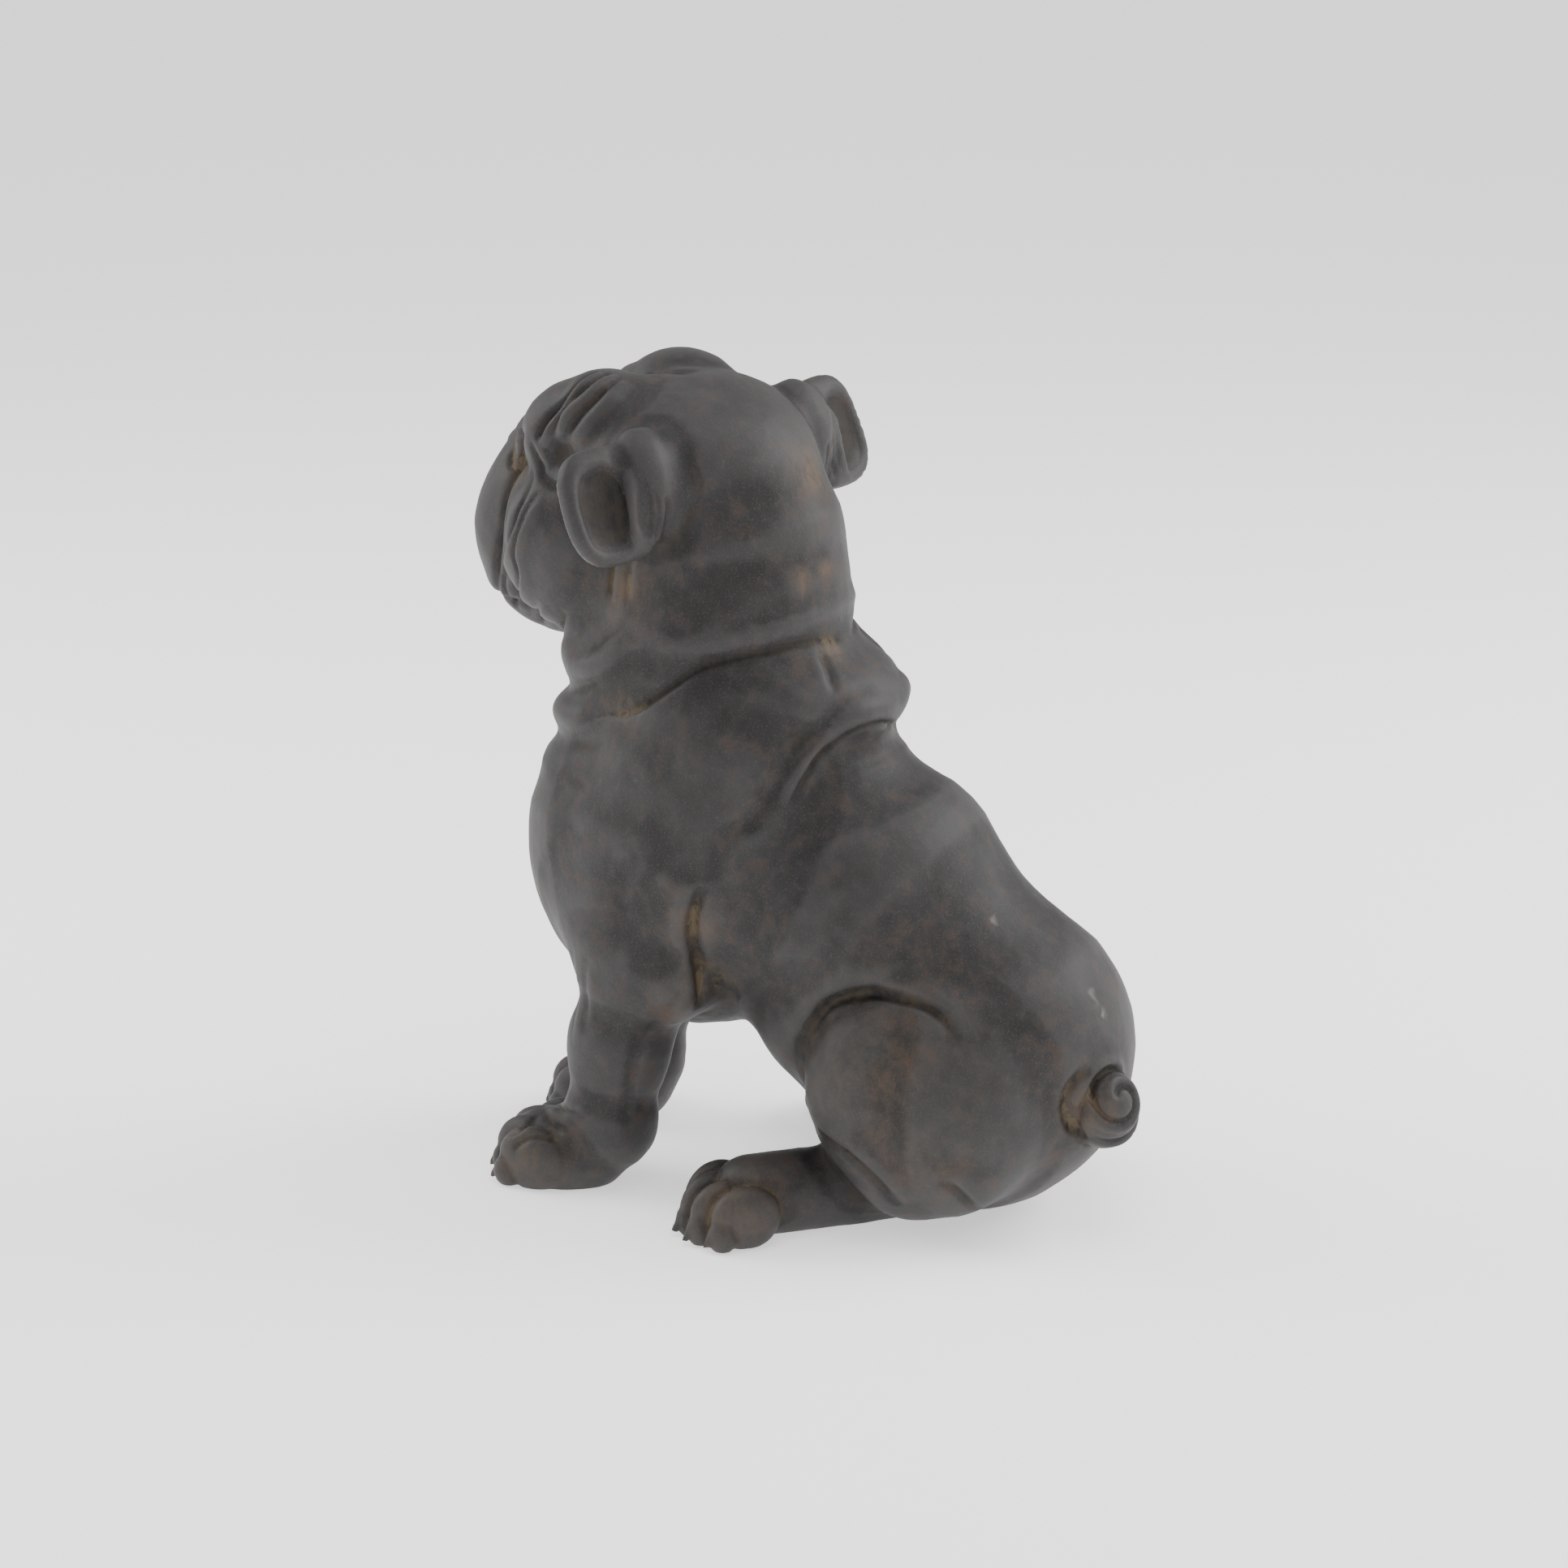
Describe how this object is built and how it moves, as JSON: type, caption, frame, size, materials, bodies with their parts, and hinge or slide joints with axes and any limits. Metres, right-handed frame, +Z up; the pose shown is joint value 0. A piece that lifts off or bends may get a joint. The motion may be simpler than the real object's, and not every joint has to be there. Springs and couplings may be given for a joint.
{
  "type": "bulldog garden statue",
  "caption": "Sitting bulldog with its head turned aside, hollow-cast as a garden figure with a dark bronze-like finish; it rests on its paws and rump.",
  "frame": {"origin": "on the ground, under the middle of the figure's outline", "axes": "+Z up, the dog faces -Y, its left side is +X"},
  "size_m": [0.2816, 0.4342, 0.4902],
  "materials": {
    "dark_cast": "satin dark brown-grey paint on cast resin, reddish mottling, ochre wax left in the creases"
  },
  "bodies": {
    "root": {"bulldog": "dark_cast"}
  },
  "joints": []
}
